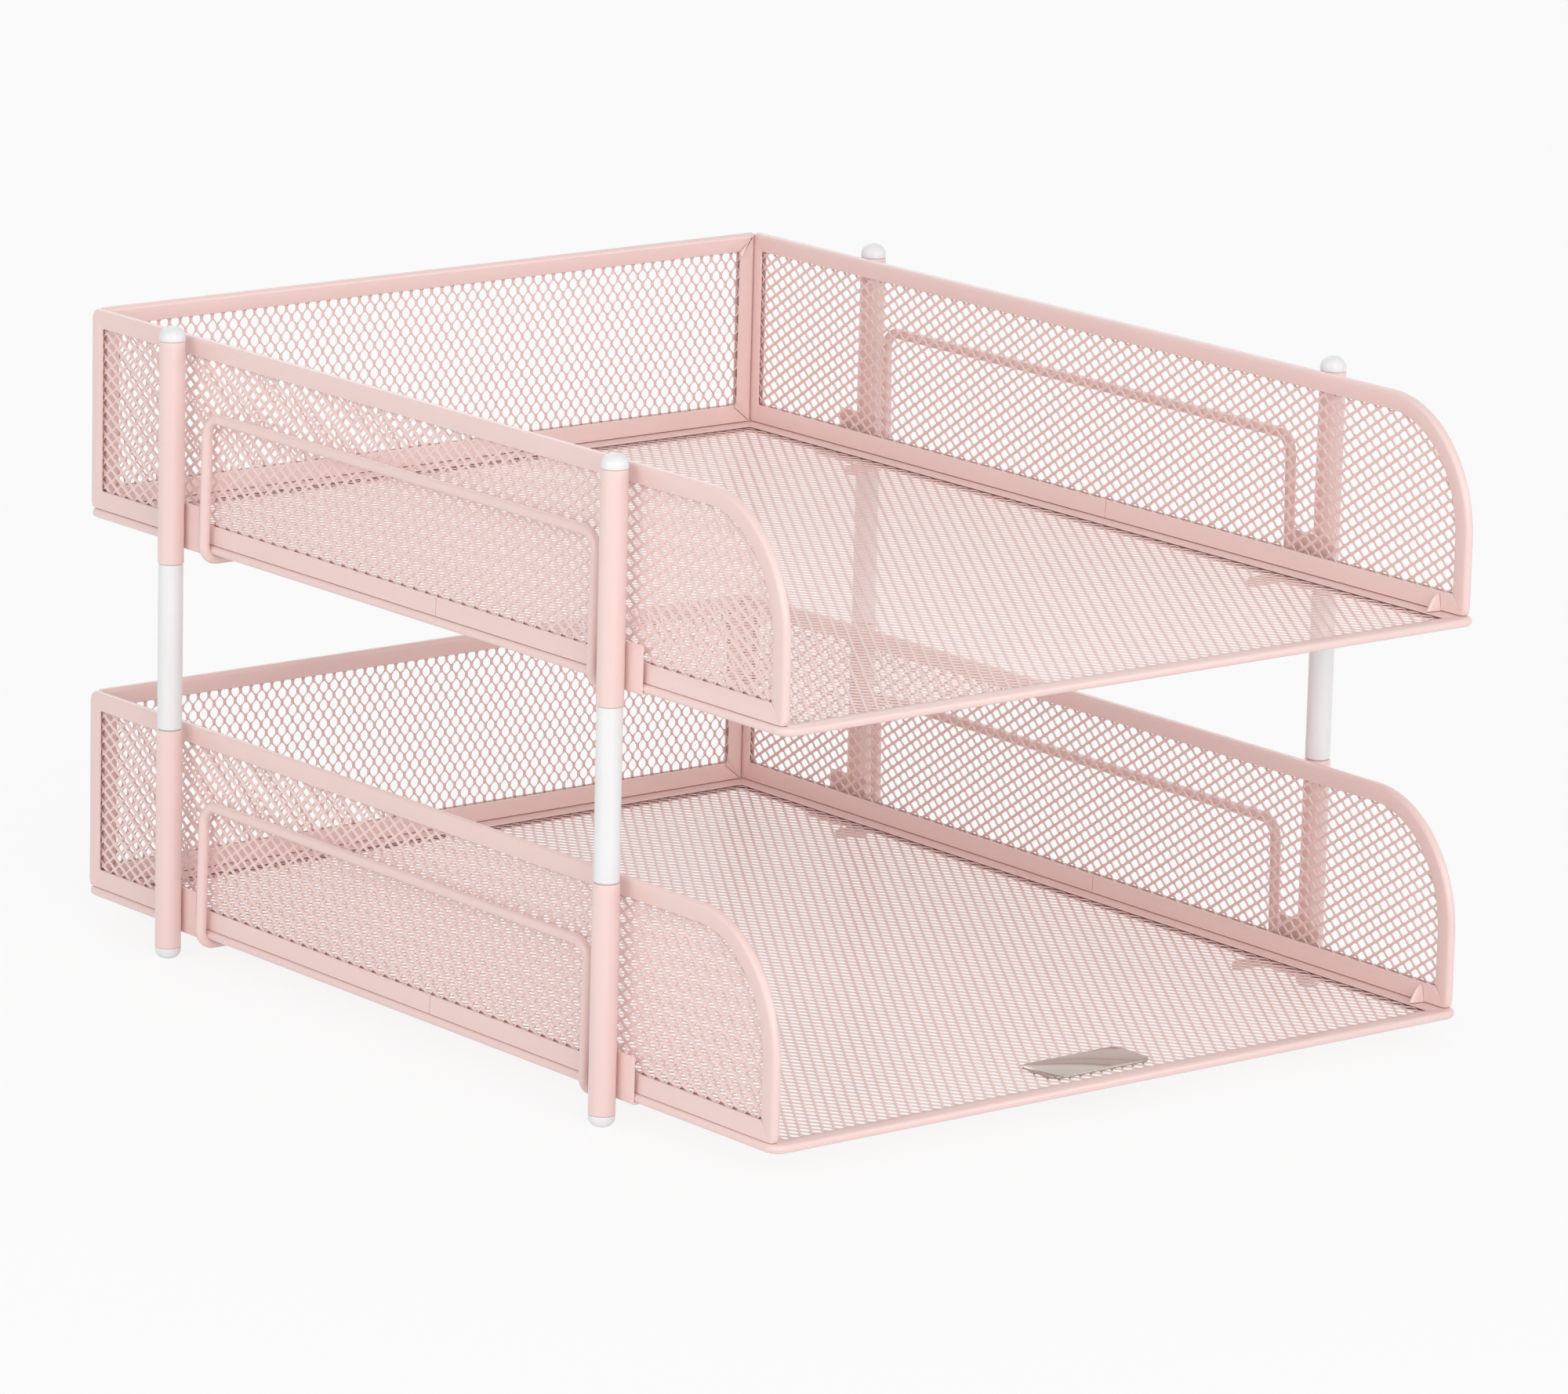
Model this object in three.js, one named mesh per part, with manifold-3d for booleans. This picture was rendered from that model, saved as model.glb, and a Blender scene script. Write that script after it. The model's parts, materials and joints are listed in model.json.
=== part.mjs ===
// Two-tier stackable letter tray: two mesh trays on tube posts, joined by plastic rods.
// Millimetres, +Z up, open front faces -Y, origin on the standing surface under the middle.

import * as THREE from 'three';
import { mergeVertices } from 'three/addons/utils/BufferGeometryUtils.js';
import { ConvexGeometry } from 'three/addons/geometries/ConvexGeometry.js';
import Module from 'manifold-3d';

const wasm = await Module();
wasm.setup();

// Driving dimensions of a tray
const trayWidth = 262;
const trayDepth = 346;
const trayHeight = 65;
const tierPitch = 120.2;
const seatGap = 0.05;

// Folded sheet channels: the flat rim round the floor and the frames round the walls
const rimThickness = 2.7;
const rimFrontFlange = 5.8;
const rimSideFlange = 8.5;
const rimCornerRadius = 5;
const frameThickness = 3;
const frameBand = 5.8;
const frameCornerRadius = 3;
const wallSideInset = 1;
const wallFrontInset = 2.2;
const wallBackInset = 0.5;
const frontCurveDepth = 36;
const frontCurveHeight = 40;
const foldRadius = 0.9;
const grooveGap = 1.1;
const grooveWeb = 2.2;
const cutMargin = 1;

// Expanded mesh sheets; each opening drawn here stands for a patch of the fine real ones
const meshThickness = 0.8;
const meshShortPitch = 36;
const meshLongPitch = 54;
const meshStrand = 4;
const meshEdgeClearance = 0.3;
const meshOverrun = 1;
const smallestOpening = 40;

// Tube posts and their sheet brackets
const postRadius = 4;
const postBore = 3.1;
const postTopInset = 1;
const postDrop = 4.4;
const frontPostSetback = 73.2;
const rearPostSetback = 292.7;
const bracketThickness = 0.8;
const bracketWidth = 18;
const bracketHeight = 14;
const bracketHook = 10;

// Round wire against each side wall
const wireRadius = 1.65;
const wireRailHeight = 42.6;
const wirePostClearance = 12.8;
const wireTopBend = 6;
const wireFootBend = 2.8;
const wireFootClearance = 0.3;
const wireTail = 14;

// Gussets at the front corners
const gussetSetback = 11;
const gussetHalfLength = 4.5;
const gussetReach = 4.4;
const gussetHeight = 6;

// Plastic rods, caps and feet that plug into the tubes
const spigotRadius = 3;
const spigotChamfer = 0.6;
const rodRadius = 3.8;
const rodSpigot = 12;
const rodRound = 0.8;
const capHeight = 4.4;
const capCollar = 1;
const capSpigot = 10;
const capFlatRadius = 0.9;
const footHeight = 3.4;
const footCollar = 0.6;
const footSpigot = 10;
const footFlatRadius = 1.6;

// Small plate on the floor mesh of the lower tray
const plateWidth = 38;
const plateLength = 17;
const plateThickness = 0.6;
const plateCornerRadius = 4;
const plateSetback = 11;

// Steps of the round stretches
const roundSides = 16;
const wireSides = 8;
const bendSteps = 4;
const domeSteps = 3;
const cornerSteps = 3;
const frontCurveSteps = 12;
const foldSegments = 2;

// Places that follow from the sizes
const rimEdge = trayWidth / 2;
const frontEdge = -trayDepth / 2;
const backEdge = trayDepth / 2;
const wallOuter = rimEdge - wallSideInset;
const wallInner = wallOuter - frameThickness;
const wallBottom = rimThickness + seatGap;
const wallFront = frontEdge + wallFrontInset;
const wallBack = backEdge - wallBackInset;
const meshLevel = rimThickness / 2;
const postTop = trayHeight - postTopInset;
const bracketInner = rimEdge + seatGap;
const bracketOuter = bracketInner + bracketThickness;
const postOffset = bracketOuter + seatGap + postRadius;
const frontPostY = frontEdge + frontPostSetback;
const rearPostY = frontEdge + rearPostSetback;
const lowerBase = footHeight + seatGap + postDrop;
const upperBase = lowerBase + tierPitch;

const powderCoat = { color: 0xefc8c4, roughness: 0.5, metalness: 0 };
const whitePlastic = { color: 0xf4f4f4, roughness: 0.35, metalness: 0 };
const plateMetal = { color: 0xb8b2aa, roughness: 0.3, metalness: 0.9 };

// Closed solids with shared vertices and faces that point out

function signedVolume(geometry) {
  const point = geometry.getAttribute('position');
  const index = geometry.getIndex();
  const a = new THREE.Vector3();
  const b = new THREE.Vector3();
  const c = new THREE.Vector3();
  let volume = 0;
  for (let i = 0; i < index.count; i += 3) {
    a.fromBufferAttribute(point, index.getX(i));
    b.fromBufferAttribute(point, index.getX(i + 1));
    c.fromBufferAttribute(point, index.getX(i + 2));
    volume += a.dot(b.cross(c)) / 6;
  }
  return volume;
}

function closed(geometry) {
  geometry.deleteAttribute('normal');
  geometry.deleteAttribute('uv');
  const merged = mergeVertices(geometry);
  if (signedVolume(merged) < 0) {
    const index = merged.getIndex();
    for (let i = 0; i < index.count; i += 3) {
      const second = index.getX(i + 1);
      index.setX(i + 1, index.getX(i + 2));
      index.setX(i + 2, second);
    }
  }
  return merged;
}

function toManifold(geometry) {
  const solid = closed(geometry);
  const mesh = new wasm.Mesh({
    numProp: 3,
    vertProperties: new Float32Array(solid.getAttribute('position').array),
    triVerts: new Uint32Array(solid.getIndex().array),
  });
  return new wasm.Manifold(mesh);
}

function fromManifold(manifold) {
  const mesh = manifold.getMesh();
  const geometry = new THREE.BufferGeometry();
  geometry.setAttribute('position', new THREE.BufferAttribute(new Float32Array(mesh.vertProperties), 3));
  geometry.setIndex(new THREE.BufferAttribute(new Uint32Array(mesh.triVerts), 1));
  return geometry;
}

// Extrusions of an outline, from one level to another

function slab(shape, from, to) {
  const options = { depth: to - from, bevelEnabled: false };
  return new THREE.ExtrudeGeometry(shape, options).translate(0, 0, from);
}

function foldedSlab(shape, thickness) {
  const options = {
    depth: thickness - 2 * foldRadius,
    bevelThickness: foldRadius,
    bevelSize: foldRadius,
    bevelOffset: -foldRadius,
    bevelSegments: foldSegments,
  };
  return new THREE.ExtrudeGeometry(shape, options).translate(0, 0, foldRadius);
}

// Outline with its own round at each corner, from the lower left one anticlockwise.
// Each corner gives the radii of its quarter ellipse along and up the outline, and its steps.
function cornerOutline(left, right, bottom, top, corners) {
  const starts = [
    [left, bottom, 1, 1, Math.PI],
    [right, bottom, -1, 1, -Math.PI / 2],
    [right, top, -1, -1, 0],
    [left, top, 1, -1, Math.PI / 2],
  ];
  const points = starts.flatMap(([x, y, inX, inY, start], i) => {
    const [radiusX, radiusY, steps] = corners[i];
    if (radiusX <= 0 || radiusY <= 0) {
      return [new THREE.Vector2(x, y)];
    }
    const centreX = x + inX * radiusX;
    const centreY = y + inY * radiusY;
    const end = start + Math.PI / 2;
    return new THREE.EllipseCurve(centreX, centreY, radiusX, radiusY, start, end).getPoints(steps);
  });
  return new THREE.Shape(points);
}

function evenCorners(radius) {
  return Array(4).fill([radius, radius, cornerSteps]);
}

// Channel: a folded strip round a window, grooved inside to hold the edge of a mesh sheet

function channelFrame(outline, window, groove, thickness) {
  const middle = thickness / 2;
  const body = toManifold(foldedSlab(outline, thickness));
  const opening = toManifold(slab(window, -cutMargin, thickness + cutMargin));
  const slot = toManifold(slab(groove, middle - grooveGap / 2, middle + grooveGap / 2));
  return fromManifold(body.subtract(opening).subtract(slot));
}

// Mesh sheet: diamond openings on a staggered lattice, cut off at the edge of the window

function diamondLattice(window, pitchAcross, pitchUp) {
  const box = new THREE.Box2().setFromPoints(window.getPoints());
  const middle = box.getCenter(new THREE.Vector2());
  const size = box.getSize(new THREE.Vector2());
  const halfAcross = pitchAcross / 2;
  const halfUp = pitchUp / 2;
  const share = 1 - (meshStrand * Math.hypot(halfAcross, halfUp)) / (2 * halfAcross * halfUp);
  const columns = Math.ceil(size.x / pitchAcross) + 1;
  const rows = Math.ceil(size.y / pitchUp) + 1;
  const diamonds = [];
  for (let i = -columns; i <= columns; i += 1) {
    for (let j = -rows; j <= rows; j += 1) {
      const staggered = (i + j) % 2 === 0;
      if (staggered) {
        const x = middle.x + i * halfAcross;
        const y = middle.y + j * halfUp;
        diamonds.push(new THREE.Shape([
          new THREE.Vector2(x + halfAcross * share, y),
          new THREE.Vector2(x, y + halfUp * share),
          new THREE.Vector2(x - halfAcross * share, y),
          new THREE.Vector2(x, y - halfUp * share),
        ]));
      }
    }
  }
  return diamonds;
}

function meshSheet(outline, window, pitchAcross, pitchUp) {
  const half = meshThickness / 2;
  const smallest = smallestOpening * meshThickness;
  const diamonds = diamondLattice(window, pitchAcross, pitchUp);
  const lattice = toManifold(slab(diamonds, -half - cutMargin, half + cutMargin));
  const openings = lattice.intersect(toManifold(slab(window, -half, half))).decompose();
  const sheet = openings
    .filter((opening) => opening.volume() > smallest)
    .reduce((left, opening) => left.subtract(opening), toManifold(slab(outline, -half, half)));
  return fromManifold(sheet);
}

// Floor of a tray

function rimOutline(frontInset, sideInset) {
  return cornerOutline(
    -rimEdge + sideInset,
    rimEdge - sideInset,
    frontEdge + frontInset,
    backEdge - sideInset,
    evenCorners(rimCornerRadius - Math.min(frontInset, sideInset)),
  );
}

function floorRim() {
  const window = rimOutline(rimFrontFlange, rimSideFlange);
  const groove = rimOutline(grooveWeb, grooveWeb);
  return channelFrame(rimOutline(0, 0), window, groove, rimThickness);
}

function floorMesh() {
  const inset = grooveWeb + meshEdgeClearance;
  const window = rimOutline(rimFrontFlange - meshOverrun, rimSideFlange - meshOverrun);
  const sheet = meshSheet(rimOutline(inset, inset), window, meshShortPitch, meshLongPitch);
  return sheet.translate(0, 0, meshLevel);
}

// Walls: drawn flat, then stood up

function sideOutline(inset) {
  const corners = evenCorners(frameCornerRadius - inset);
  corners[3] = [frontCurveDepth - inset, frontCurveHeight - inset, frontCurveSteps];
  return cornerOutline(wallFront + inset, wallBack - inset, wallBottom + inset, trayHeight - inset, corners);
}

function backOutline(inset) {
  const half = wallInner - seatGap - inset;
  return cornerOutline(-half, half, wallBottom + inset, trayHeight - inset, evenCorners(0));
}

const standAlongSide = new THREE.Matrix4().makeBasis(
  new THREE.Vector3(0, 1, 0),
  new THREE.Vector3(0, 0, 1),
  new THREE.Vector3(1, 0, 0),
);

const standAcrossBack = new THREE.Matrix4().makeBasis(
  new THREE.Vector3(1, 0, 0),
  new THREE.Vector3(0, 0, 1),
  new THREE.Vector3(0, -1, 0),
);

function wallFrame(outlineAt, stand) {
  const frame = channelFrame(outlineAt(0), outlineAt(frameBand), outlineAt(grooveWeb), frameThickness);
  return frame.applyMatrix4(stand);
}

function wallMesh(outlineAt, stand, pitchAcross, pitchUp) {
  const outline = outlineAt(grooveWeb + meshEdgeClearance);
  const window = outlineAt(frameBand - meshOverrun);
  const sheet = meshSheet(outline, window, pitchAcross, pitchUp);
  return sheet.translate(0, 0, frameThickness / 2).applyMatrix4(stand);
}

// Turned pieces, from a profile of radius and height that starts and ends on the axis

function turned(profile) {
  const points = profile.map(([radius, height]) => new THREE.Vector2(radius, height));
  return closed(new THREE.LatheGeometry(points, roundSides).rotateX(Math.PI / 2));
}

function dome(baseRadius, flatRadius, from, to) {
  const points = [];
  for (let i = 0; i <= domeSteps; i += 1) {
    const angle = (i / domeSteps) * (Math.PI / 2);
    const radius = flatRadius + (baseRadius - flatRadius) * Math.cos(angle);
    points.push([radius, from + (to - from) * Math.sin(angle)]);
  }
  return points;
}

function post() {
  const bottom = -postDrop;
  return turned([
    [postBore, bottom],
    [postRadius, bottom],
    [postRadius, postTop],
    [postBore, postTop],
    [postBore, bottom],
  ]);
}

function spigot(from, to) {
  const inward = Math.sign(to - from) * spigotChamfer;
  return [
    [spigotRadius, from],
    [spigotRadius, to - inward],
    [spigotRadius - spigotChamfer, to],
    [0, to],
  ];
}

function connectorRod() {
  const bottom = seatGap;
  const top = tierPitch - postTop - postDrop - seatGap;
  return turned([
    ...spigot(bottom, bottom - rodSpigot).reverse(),
    [rodRadius - rodRound, bottom],
    [rodRadius, bottom + rodRound],
    [rodRadius, top - rodRound],
    [rodRadius - rodRound, top],
    ...spigot(top, top + rodSpigot),
  ]);
}

function topCap() {
  return turned([
    ...spigot(0, -capSpigot).reverse(),
    [postRadius, 0],
    ...dome(postRadius, capFlatRadius, capCollar, capHeight),
    [0, capHeight],
  ]);
}

function foot() {
  return turned([
    [0, 0],
    ...dome(postRadius, footFlatRadius, footHeight - footCollar, 0).reverse(),
    [postRadius, footHeight],
    ...spigot(footHeight, footHeight + footSpigot),
  ]);
}

// Bracket: an angle of sheet outside the rim, hooked under it

function bracket(side) {
  const hookTop = -seatGap;
  const hookBottom = hookTop - bracketThickness;
  const tip = rimEdge - bracketHook;
  const profile = new THREE.Shape([
    new THREE.Vector2(side * tip, hookBottom),
    new THREE.Vector2(side * bracketOuter, hookBottom),
    new THREE.Vector2(side * bracketOuter, bracketHeight),
    new THREE.Vector2(side * bracketInner, bracketHeight),
    new THREE.Vector2(side * bracketInner, hookTop),
    new THREE.Vector2(side * tip, hookTop),
  ]);
  return closed(slab(profile, -bracketWidth / 2, bracketWidth / 2).applyMatrix4(standAcrossBack));
}

// Wire: a tube along stations that lie close together only in its bends

class StationCurve extends THREE.Curve {
  constructor(stations) {
    super();
    this.stations = stations;
    this.last = stations.length - 1;
  }

  getPointAt(t, target = new THREE.Vector3()) {
    return target.copy(this.stations[Math.round(t * this.last)]);
  }

  getTangentAt(t, target = new THREE.Vector3()) {
    const i = Math.round(t * this.last);
    const before = this.stations[Math.max(i - 1, 0)];
    const after = this.stations[Math.min(i + 1, this.last)];
    return target.subVectors(after, before).normalize();
  }
}

function bend(before, corner, after, radius) {
  const into = corner.clone().sub(before).normalize();
  const out = after.clone().sub(corner).normalize();
  const half = into.angleTo(out) / 2;
  const start = corner.clone().addScaledVector(into, -radius * Math.tan(half));
  const inward = out.clone().sub(into).normalize();
  const centre = corner.clone().addScaledVector(inward, radius / Math.cos(half));
  const axis = new THREE.Vector3().crossVectors(into, out).normalize();
  const stations = [];
  for (let i = 0; i <= bendSteps; i += 1) {
    const arm = start.clone().sub(centre);
    stations.push(arm.applyAxisAngle(axis, (i / bendSteps) * 2 * half).add(centre));
  }
  return stations;
}

function sideWire(side) {
  const railX = side * (wallOuter + seatGap + wireRadius);
  const footX = side * (rimEdge + wireFootClearance + wireRadius);
  const tailX = side * (rimEdge - wireTail);
  const tailZ = -seatGap - wireRadius;
  const front = frontPostY + wirePostClearance;
  const rear = rearPostY - wirePostClearance;
  const corners = [
    new THREE.Vector3(tailX, front, tailZ),
    new THREE.Vector3(footX, front, tailZ),
    new THREE.Vector3(railX, front, wireRailHeight),
    new THREE.Vector3(railX, rear, wireRailHeight),
    new THREE.Vector3(footX, rear, tailZ),
    new THREE.Vector3(tailX, rear, tailZ),
  ];
  const radii = [0, wireFootBend, wireTopBend, wireTopBend, wireFootBend, 0];
  const last = corners.length - 1;
  const stations = corners.flatMap((corner, i) => {
    if (i === 0 || i === last) {
      return [corner];
    }
    return bend(corners[i - 1], corner, corners[i + 1], radii[i]);
  });
  const flat = Math.PI / wireSides;
  const ring = new THREE.EllipseCurve(0, 0, wireRadius, wireRadius, flat, flat + 2 * Math.PI);
  const section = new THREE.Shape(ring.getPoints(wireSides).slice(1));
  const options = { steps: stations.length - 1, extrudePath: new StationCurve(stations) };
  return closed(new THREE.ExtrudeGeometry(section, options));
}

// Gusset: a small pressed pyramid in the corner between side wall and floor rim

function gusset(side) {
  const corner = side * (wallInner - seatGap);
  const floor = rimThickness + seatGap;
  const along = frontEdge + gussetSetback;
  return closed(new ConvexGeometry([
    new THREE.Vector3(corner, along - gussetHalfLength, floor),
    new THREE.Vector3(corner, along + gussetHalfLength, floor),
    new THREE.Vector3(corner - side * gussetReach, along, floor),
    new THREE.Vector3(corner, along, floor + gussetHeight),
  ]));
}

function floorPlate() {
  const half = plateWidth / 2;
  const front = frontEdge + plateSetback;
  const outline = cornerOutline(-half, half, front, front + plateLength, evenCorners(plateCornerRadius));
  const seat = meshLevel + meshThickness / 2 + seatGap;
  return closed(slab(outline, seat, seat + plateThickness));
}

// Assembly

function piece(name, geometry, look, position = [0, 0, 0]) {
  const mesh = new THREE.Mesh(geometry, new THREE.MeshStandardMaterial({ ...look, flatShading: true }));
  mesh.name = name;
  mesh.position.set(...position);
  return mesh;
}

const sides = [['left', -1], ['right', 1]];
const ends = [['front', frontPostY], ['rear', rearPostY]];

function tray(level, base) {
  const group = new THREE.Group();
  group.position.z = base;
  const add = (name, geometry, position) => {
    group.add(piece(`${level}_${name}`, geometry, powderCoat, position));
  };
  add('floor_rim', floorRim());
  add('floor_mesh', floorMesh());
  add('back_wall_frame', wallFrame(backOutline, standAcrossBack), [0, wallBack, 0]);
  add('back_wall_mesh', wallMesh(backOutline, standAcrossBack, meshShortPitch, meshLongPitch), [0, wallBack, 0]);
  for (const [sideName, side] of sides) {
    const wallX = side > 0 ? wallInner : -wallOuter;
    add(`${sideName}_wall_frame`, wallFrame(sideOutline, standAlongSide), [wallX, 0, 0]);
    const mesh = wallMesh(sideOutline, standAlongSide, meshLongPitch, meshShortPitch);
    add(`${sideName}_wall_mesh`, mesh, [wallX, 0, 0]);
    add(`${sideName}_side_wire`, sideWire(side));
    add(`${sideName}_gusset`, gusset(side));
    for (const [endName, y] of ends) {
      add(`${sideName}_${endName}_post`, post(), [side * postOffset, y, 0]);
      add(`${sideName}_${endName}_bracket`, bracket(side), [0, y, 0]);
    }
  }
  return group;
}

function plugs() {
  const group = new THREE.Group();
  for (const [sideName, side] of sides) {
    for (const [endName, y] of ends) {
      const place = (z) => [side * postOffset, y, z];
      const name = `${sideName}_${endName}`;
      group.add(piece(`${name}_foot`, foot(), whitePlastic, place(0)));
      group.add(piece(`${name}_connector`, connectorRod(), whitePlastic, place(lowerBase + postTop)));
      group.add(piece(`${name}_top_cap`, topCap(), whitePlastic, place(upperBase + postTop + seatGap)));
    }
  }
  return group;
}

const stack = new THREE.Group();
stack.name = 'stackable_paper_tray';
stack.add(tray('lower', lowerBase));
stack.add(tray('upper', upperBase));
stack.add(plugs());
stack.add(piece('floor_plate', floorPlate(), plateMetal, [0, 0, lowerBase]));

export default stack;
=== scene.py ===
"""Two-tier stackable letter tray: expanded steel nets in folded channels, on tube posts."""

import json
import math

import bmesh
import bpy
from bpy.props import FloatProperty, FloatVectorProperty, IntProperty, PointerProperty
from mathutils import Matrix, Vector
from typing import NamedTuple


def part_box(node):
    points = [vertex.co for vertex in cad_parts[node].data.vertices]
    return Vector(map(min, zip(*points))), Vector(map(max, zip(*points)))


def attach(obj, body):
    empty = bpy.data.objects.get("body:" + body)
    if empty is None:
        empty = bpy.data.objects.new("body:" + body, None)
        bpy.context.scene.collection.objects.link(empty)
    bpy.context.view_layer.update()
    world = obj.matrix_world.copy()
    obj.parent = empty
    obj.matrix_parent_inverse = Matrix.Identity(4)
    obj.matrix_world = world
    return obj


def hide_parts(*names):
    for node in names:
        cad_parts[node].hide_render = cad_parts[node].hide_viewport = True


bl_info = {
    "name": "Stackable letter tray",
    "version": (1, 0, 0),
    "blender": (4, 5, 0),
    "location": "View3D > Sidebar > Letter tray",
    "description": "Models a two-tier letter tray of powder coated expanded steel",
    "category": "Object",
}

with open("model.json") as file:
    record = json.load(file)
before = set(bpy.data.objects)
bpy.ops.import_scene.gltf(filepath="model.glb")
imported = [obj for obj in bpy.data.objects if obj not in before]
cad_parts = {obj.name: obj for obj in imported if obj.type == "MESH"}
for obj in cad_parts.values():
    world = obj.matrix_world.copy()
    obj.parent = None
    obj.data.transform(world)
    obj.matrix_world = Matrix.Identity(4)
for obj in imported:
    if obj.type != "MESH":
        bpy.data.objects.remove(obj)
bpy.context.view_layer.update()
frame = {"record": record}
TIERS = ("lower", "upper")
SIDES = {"left": -1, "right": 1}
ENDS = ("front", "rear")
WHITE = (1.0, 1.0, 1.0, 1.0)
BODY_OF = {
    node: body
    for body, nodes in frame["record"]["behaviour"]["bodies"].items()
    for node in nodes
}

# Lengths in metres: what counts as none, what joins a net's copies, the ledge before a slot,
# and how far a piece may reach out of its solid's box
NEAR = 1e-6
JOIN = 2e-5
LEDGE = 1e-5
SLACK = 4e-4

# Angles in degrees: edges that are bent more than this look sharp, or are square edges
SHARP_ANGLE = 32.0
WIRE_ANGLE = 50.0
SQUARE_ANGLE = 60.0

# Marks of a channel's vertices
AT_FOLD, AT_WINDOW, AT_SLIT = 1, 2, 3

# Steps in the rounds of corners, edges and bends
GUSSET_SIDES = 96
GUSSET_STEPS = 5
CORNER_STEPS = 4
CURVE_STEPS = 20
NET_CURVE_STEPS = 12
FOLD_STEPS = 6
SMALL_STEPS = 2

# Light that the world gives, and share of the floor that shows as plain white
WORLD_LIGHT = 0.54
FLOOR_WHITE = 0.84

# Soft lamps: name, place, width in metres and power in watts
LAMPS = (
    ("soft_key", (-0.8, -2.45, 1.05), 1.6, 23.0),
    ("soft_fill", (-2.4, -0.4, 1.1), 1.8, 15.5),
    ("soft_right", (1.7, -2.3, 1.0), 0.9, 10.0),
    ("soft_rear", (0.9, 2.2, 1.6), 1.6, 7.0),
)
LAMP_AIM = Vector((0.0, 0.0, 0.08))

# Camera: place and focal length, and angles in degrees
CAMERA_SPOT = (-1.5181, -1.8972, 0.6655)
CAMERA_LENS = 189.3
CAMERA_SENSOR = 36.0
CAMERA_TURN, CAMERA_DROP, CAMERA_ROLL = -38.802, 13.356, 1.453

# A drawn wall stands up along the tray's side, or across its back
ALONG_SIDE = Matrix(((0, 0, 1, 0), (1, 0, 0, 0), (0, 1, 0, 0), (0, 0, 0, 1)))
ACROSS_BACK = Matrix(((1, 0, 0, 0), (0, 0, 1, 0), (0, 1, 0, 0), (0, 0, 0, 1)))


def size(name, description, default):
    """Length that a user may change, in metres."""
    return FloatProperty(
        name=name, description=description, default=default, min=0.0, precision=5, unit="LENGTH"
    )


def tint(name, description, default):
    """Colour that a user may change."""
    return FloatVectorProperty(
        name=name, description=description, default=default, min=0.0, max=1.0, subtype="COLOR"
    )


class NetSizes(bpy.types.PropertyGroup):
    """Expanded sheet: openings on a staggered lattice, with tilted bonds between them."""

    short_pitch: size("Short pitch", "From one opening to the next across it", 0.004)
    long_pitch: size("Long pitch", "From one opening to the next along it", 0.006)
    half_width: size("Half width", "Half of an opening's width, floor and back", 0.00142)
    half_length: size("Half length", "Half of an opening's length, floor and back", 0.00216)
    half_side: size("Half side", "Half of an opening's straight side, floor and back", 0.0006)
    bulge: size("Bulge", "How far the slanted sides of the back's openings bow out", 0.00014)
    side_half_width: size("Side half width", "Half of an opening's width, side walls", 0.00138)
    side_half_length: size("Side half length", "Half of an opening's length, side walls", 0.0021)
    side_half_side: size("Side half side", "Half of an opening's straight side, side walls", 0.0004)
    tilt: size("Tilt", "How far a bond's edges lie off a wall net's middle", 0.00026)
    sheet: size("Sheet", "Thickness of the walls' sheet before it was expanded", 0.00036)
    floor_sheet: size("Floor sheet", "The same thickness of the floor's sheet", 0.00034)
    tuck: size("Tuck", "How far the net reaches into its channel", 0.0015)


class ChannelSizes(bpy.types.PropertyGroup):
    """Folded channels round the floor and the walls."""

    wall_band: size("Wall band", "Width of the channel round a wall", 0.0058)
    front_band: size("Front band", "Width of the floor channel at the front", 0.0058)
    side_band: size("Side band", "Width of the floor channel at the sides and back", 0.0085)
    wall_corner: size("Wall corner", "Outer radius of a wall's corners", 0.003)
    floor_corner: size("Floor corner", "Outer radius of the floor's corners", 0.005)
    window_corner: size("Window corner", "Radius of the corners of a channel's window", 0.0006)
    curve_depth: size("Curve depth", "Front curve of a side wall, along the wall", 0.036)
    curve_height: size("Curve height", "Front curve of a side wall, up the wall", 0.040)
    wall_fold: size("Wall fold", "Round of a wall channel's folded edge", 0.0014)
    seam: size("Seam", "Half of the width of the seam where a channel's ends meet", 0.0002)
    seam_spot: size("Seam spot", "From the front to the seam of a side channel", 0.163)
    seam_depth: FloatProperty(
        name="Seam depth", description="Thickness left at the seam over the full one", default=0.5
    )
    seat: FloatProperty(
        name="Seat", description="Height of a foot's round over its depth", default=0.12
    )
    floor_fold: size("Floor fold", "Round of the floor channel's folded edge", 0.00125)
    lip_round: size("Lip round", "Round of the channel's lips", 0.0003)
    slot: size("Slot", "Gap between the lips that the net comes out of", 0.0015)
    slot_depth: size("Slot depth", "How deep the gap is", 0.0034)
    mitre: size("Mitre", "Length of the mitre slit at a side wall's lower front corner", 0.0022)
    lip_taper: FloatProperty(
        name="Lip taper", description="Thickness of the lips over that of the fold", default=0.82
    )


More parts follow.
